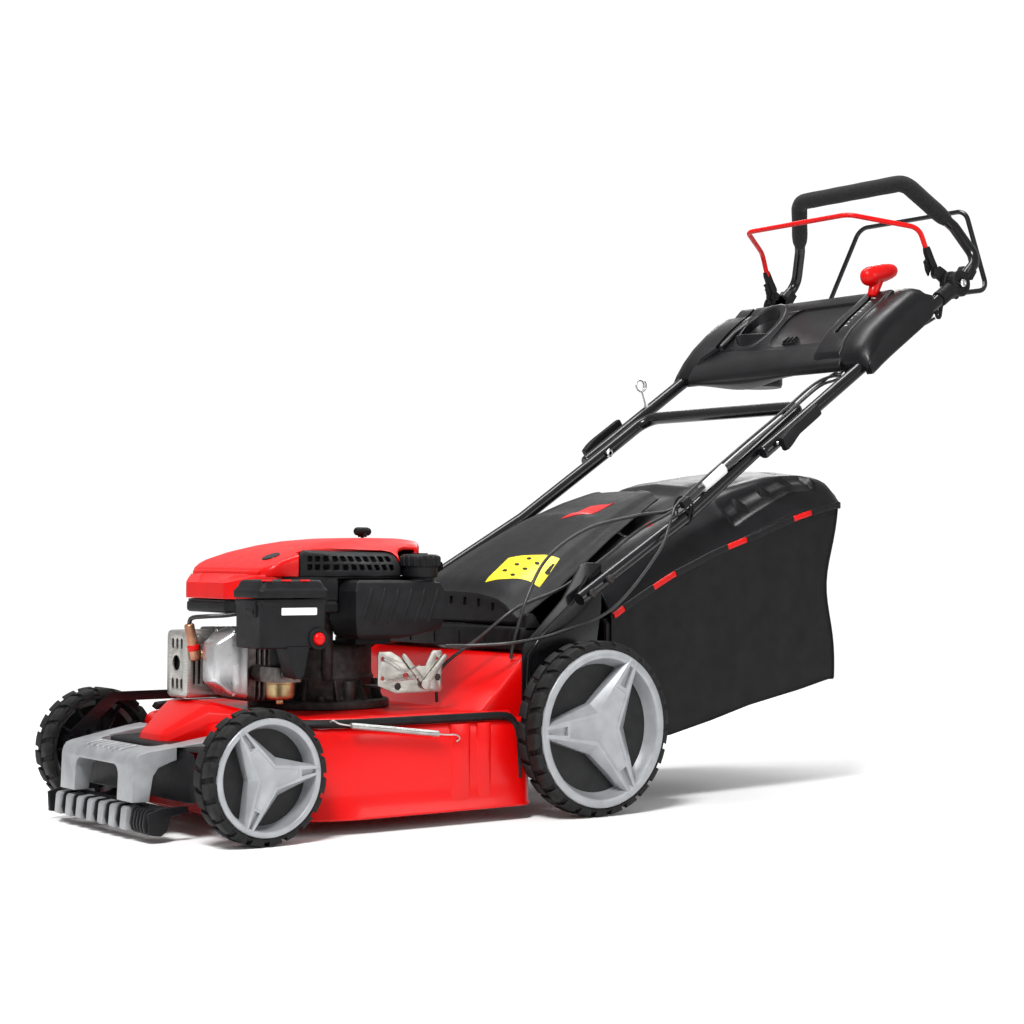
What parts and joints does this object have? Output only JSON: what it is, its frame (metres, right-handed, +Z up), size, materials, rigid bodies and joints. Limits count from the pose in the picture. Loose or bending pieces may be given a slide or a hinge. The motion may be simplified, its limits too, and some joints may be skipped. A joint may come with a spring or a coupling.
{
  "type": "petrol lawn mower",
  "caption": "Self-propelled petrol rotary lawn mower with a steel deck, folding handle with two bails, and a rear grass bag.",
  "frame": {"origin": "below the middle of the overall length, on the ground and on the centre plane", "axes": "+X towards the rear (bag and handle), +Y to the mower's right, +Z up"},
  "size_m": [1.675, 0.574, 1.0698],
  "materials": {
    "red_paint": "gloss",
    "red_plastic": "gloss",
    "black_paint": "satin",
    "black_plastic": "satin",
    "grey_plastic": "satin",
    "tyre": "matte",
    "steel": "zinc plated",
    "chrome": "polished",
    "alloy": "cast",
    "cast_iron": "machined",
    "brass": "plain",
    "rubber": "matte",
    "foam": "matte foam",
    "cloth": "woven",
    "filter_foam": "paper"
  },
  "bodies": {
    "chassis": {"deck": "red_paint", "deck_rail": "black_plastic", "front_guard": "grey_plastic", "comb_bar": "black_plastic", "rear_bulkhead": "black_plastic", "handle_brackets": "black_paint", "lower_handle": "black_paint", "frame_bolts": "steel", "crankcase": "alloy", "valve_cover": "chrome", "muffler": "steel", "muffler_guard": "steel", "spark_plug": "rubber", "blower_housing": "black_plastic", "engine_cover": "red_plastic", "fuel_tank": "black_plastic", "air_filter_box": "black_plastic", "air_filter_element": "filter_foam", "carburettor": "brass", "governor_bracket": "steel", "gearbox": "alloy", "drive_belt": "rubber", "balance_spring": "chrome", "control_cables": "rubber"},
    "front_axle": {"front_axle": "steel"},
    "rear_axle": {"rear_axle": "steel"},
    "height_link": {"height_link": "black_paint"},
    "front_left_wheel": {"front_left_tyre": "tyre", "front_left_rim": "grey_plastic"},
    "front_right_wheel": {"front_right_tyre": "tyre", "front_right_rim": "grey_plastic"},
    "rear_left_wheel": {"rear_left_tyre": "tyre", "rear_left_rim": "grey_plastic"},
    "rear_right_wheel": {"rear_right_tyre": "tyre", "rear_right_rim": "grey_plastic"},
    "crank": {"crankshaft": "cast_iron", "flywheel": "alloy", "blade": "cast_iron", "blade_bolt": "steel"},
    "gearbox_pulley": {"gearbox_pulley": "steel"},
    "drive_shaft": {"drive_shaft": "steel"},
    "starter_grip": {"starter_grip": "black_plastic"},
    "rear_flap": {"rear_flap": "black_plastic"},
    "grass_bag": {"bag_cover": "black_plastic", "bag_fabric": "cloth"},
    "upper_handle": {"upper_handle": "black_paint", "console": "black_plastic", "clamp_bolts": "steel", "pivot_joints": "black_plastic"},
    "clamp_lever_left": {"clamp_lever_left": "black_plastic"},
    "clamp_lever_right": {"clamp_lever_right": "black_plastic"},
    "grip": {"grip_loop": "black_paint", "foam_grip": "foam"},
    "stop_bail": {"stop_bail": "red_paint"},
    "drive_bail": {"drive_bail": "black_paint"},
    "speed_lever": {"speed_lever": "red_plastic"},
    "throttle_lever": {"throttle_lever": "steel"},
    "fuel_cap": {"fuel_cap": "black_plastic"},
    "air_filter_lid": {"air_filter_lid": "black_plastic"},
    "primer_bulb": {"primer_bulb": "red_plastic"}
  },
  "joints": [
    {"name": "height_adjust", "type": "hinge", "parent": "chassis", "child": "front_axle", "pos_m": [-0.7485, 0, 0.067], "axis": [0, 1, 0], "range_deg": [0, 66]},
    {"name": "rear_height", "type": "hinge", "parent": "chassis", "child": "rear_axle", "pos_m": [-0.194, 0, 0.106], "axis": [0, 1, 0], "range_deg": [0, 66]},
    {"name": "height_link_pin", "type": "hinge", "parent": "front_axle", "child": "height_link", "pos_m": [-0.773, 0.216, 0.1047], "axis": [0, 1, 0], "range_deg": [-66, 0]},
    {"name": "front_left_wheel_spin", "type": "hinge", "parent": "front_axle", "child": "front_left_wheel", "pos_m": [-0.7155, -0.245, 0.09], "axis": [0, 1, 0], "continuous": true},
    {"name": "front_right_wheel_spin", "type": "hinge", "parent": "front_axle", "child": "front_right_wheel", "pos_m": [-0.7155, 0.245, 0.09], "axis": [0, 1, 0], "continuous": true},
    {"name": "rear_left_wheel_spin", "type": "hinge", "parent": "rear_axle", "child": "rear_left_wheel", "pos_m": [-0.161, -0.262, 0.129], "axis": [0, 1, 0], "continuous": true},
    {"name": "rear_right_wheel_spin", "type": "hinge", "parent": "rear_axle", "child": "rear_right_wheel", "pos_m": [-0.161, 0.262, 0.129], "axis": [0, 1, 0], "continuous": true},
    {"name": "crank_spin", "type": "hinge", "parent": "chassis", "child": "crank", "pos_m": [-0.4755, 0, 0.158], "axis": [0, 0, 1], "continuous": true},
    {"name": "gearbox_pulley_spin", "type": "hinge", "parent": "chassis", "child": "gearbox_pulley", "pos_m": [-0.2055, 0, 0.126], "axis": [0, 0, 1], "continuous": true},
    {"name": "drive_shaft_spin", "type": "hinge", "parent": "chassis", "child": "drive_shaft", "pos_m": [-0.194, 0, 0.106], "axis": [0, 1, 0], "continuous": true},
    {"name": "starter_pull", "type": "slide", "parent": "chassis", "child": "starter_grip", "axis": [0, 0, 1], "range_m": [0, 0.35], "stiffness_N_per_m": 8, "springref_m": -0.05},
    {"name": "flap_lift", "type": "hinge", "parent": "chassis", "child": "rear_flap", "pos_m": [-0.2255, 0, 0.284], "axis": [0, -1, 0], "range_deg": [0, 55], "stiffness_Nm_per_rad": 0.9, "springref_deg": -28.65},
    {"name": "bag_pull_out", "type": "slide", "parent": "chassis", "child": "grass_bag", "axis": [1, 0, 0], "range_m": [0, 0.3]},
    {"name": "handle_fold", "type": "hinge", "parent": "chassis", "child": "upper_handle", "pos_m": [0.2455, 0, 0.566], "axis": [0, -1, 0], "range_deg": [0, 130], "deforming": ["control_cables"]},
    {"name": "clamp_lever_left_open", "type": "hinge", "parent": "upper_handle", "child": "clamp_lever_left", "pos_m": [0.2455, -0.246, 0.566], "axis": [0.5534, 0, -0.8329], "range_deg": [0, 90]},
    {"name": "clamp_lever_right_open", "type": "hinge", "parent": "upper_handle", "child": "clamp_lever_right", "pos_m": [0.2455, 0.246, 0.566], "axis": [-0.5534, 0, 0.8329], "range_deg": [0, 90]},
    {"name": "grip_tilt", "type": "hinge", "parent": "upper_handle", "child": "grip", "pos_m": [0.6975, 0, 0.866], "axis": [0, 1, 0], "range_deg": [-20, 20]},
    {"name": "stop_bail_pull", "type": "hinge", "parent": "grip", "child": "stop_bail", "pos_m": [0.6695, 0, 0.884], "axis": [0, 1, 0], "range_deg": [0, 45], "stiffness_Nm_per_rad": 0.6, "springref_deg": -51.57},
    {"name": "drive_bail_pull", "type": "hinge", "parent": "grip", "child": "drive_bail", "pos_m": [0.7145, 0, 0.852], "axis": [0, -1, 0], "range_deg": [0, 38], "stiffness_Nm_per_rad": 0.7, "springref_deg": -51.57},
    {"name": "speed_select", "type": "hinge", "parent": "upper_handle", "child": "speed_lever", "pos_m": [0.5465, -0.15, 0.772], "axis": [0, 1, 0], "range_deg": [-25, 0]},
    {"name": "throttle_swing", "type": "hinge", "parent": "chassis", "child": "throttle_lever", "pos_m": [-0.3975, -0.163, 0.196], "axis": [0, 1, 0], "range_deg": [-15, 15]},
    {"name": "fuel_cap_turn", "type": "hinge", "parent": "chassis", "child": "fuel_cap", "pos_m": [-0.3815, -0.126, 0.364], "axis": [0, 0, 1], "range_deg": [0, 90]},
    {"name": "filter_lid_lift", "type": "slide", "parent": "chassis", "child": "air_filter_lid", "axis": [0, 0, 1], "range_m": [0, 0.03]},
    {"name": "primer_press", "type": "slide", "parent": "chassis", "child": "primer_bulb", "axis": [0, 1, 0], "range_m": [0, 0.006], "stiffness_N_per_m": 300, "springref_m": -0.002}
  ],
  "couplings": [
    {"joint": "rear_height", "follows": "height_adjust", "ratio": 1},
    {"joint": "height_link_pin", "follows": "height_adjust", "ratio": -1},
    {"joint": "gearbox_pulley_spin", "follows": "crank_spin", "ratio": 0.75}
  ]
}
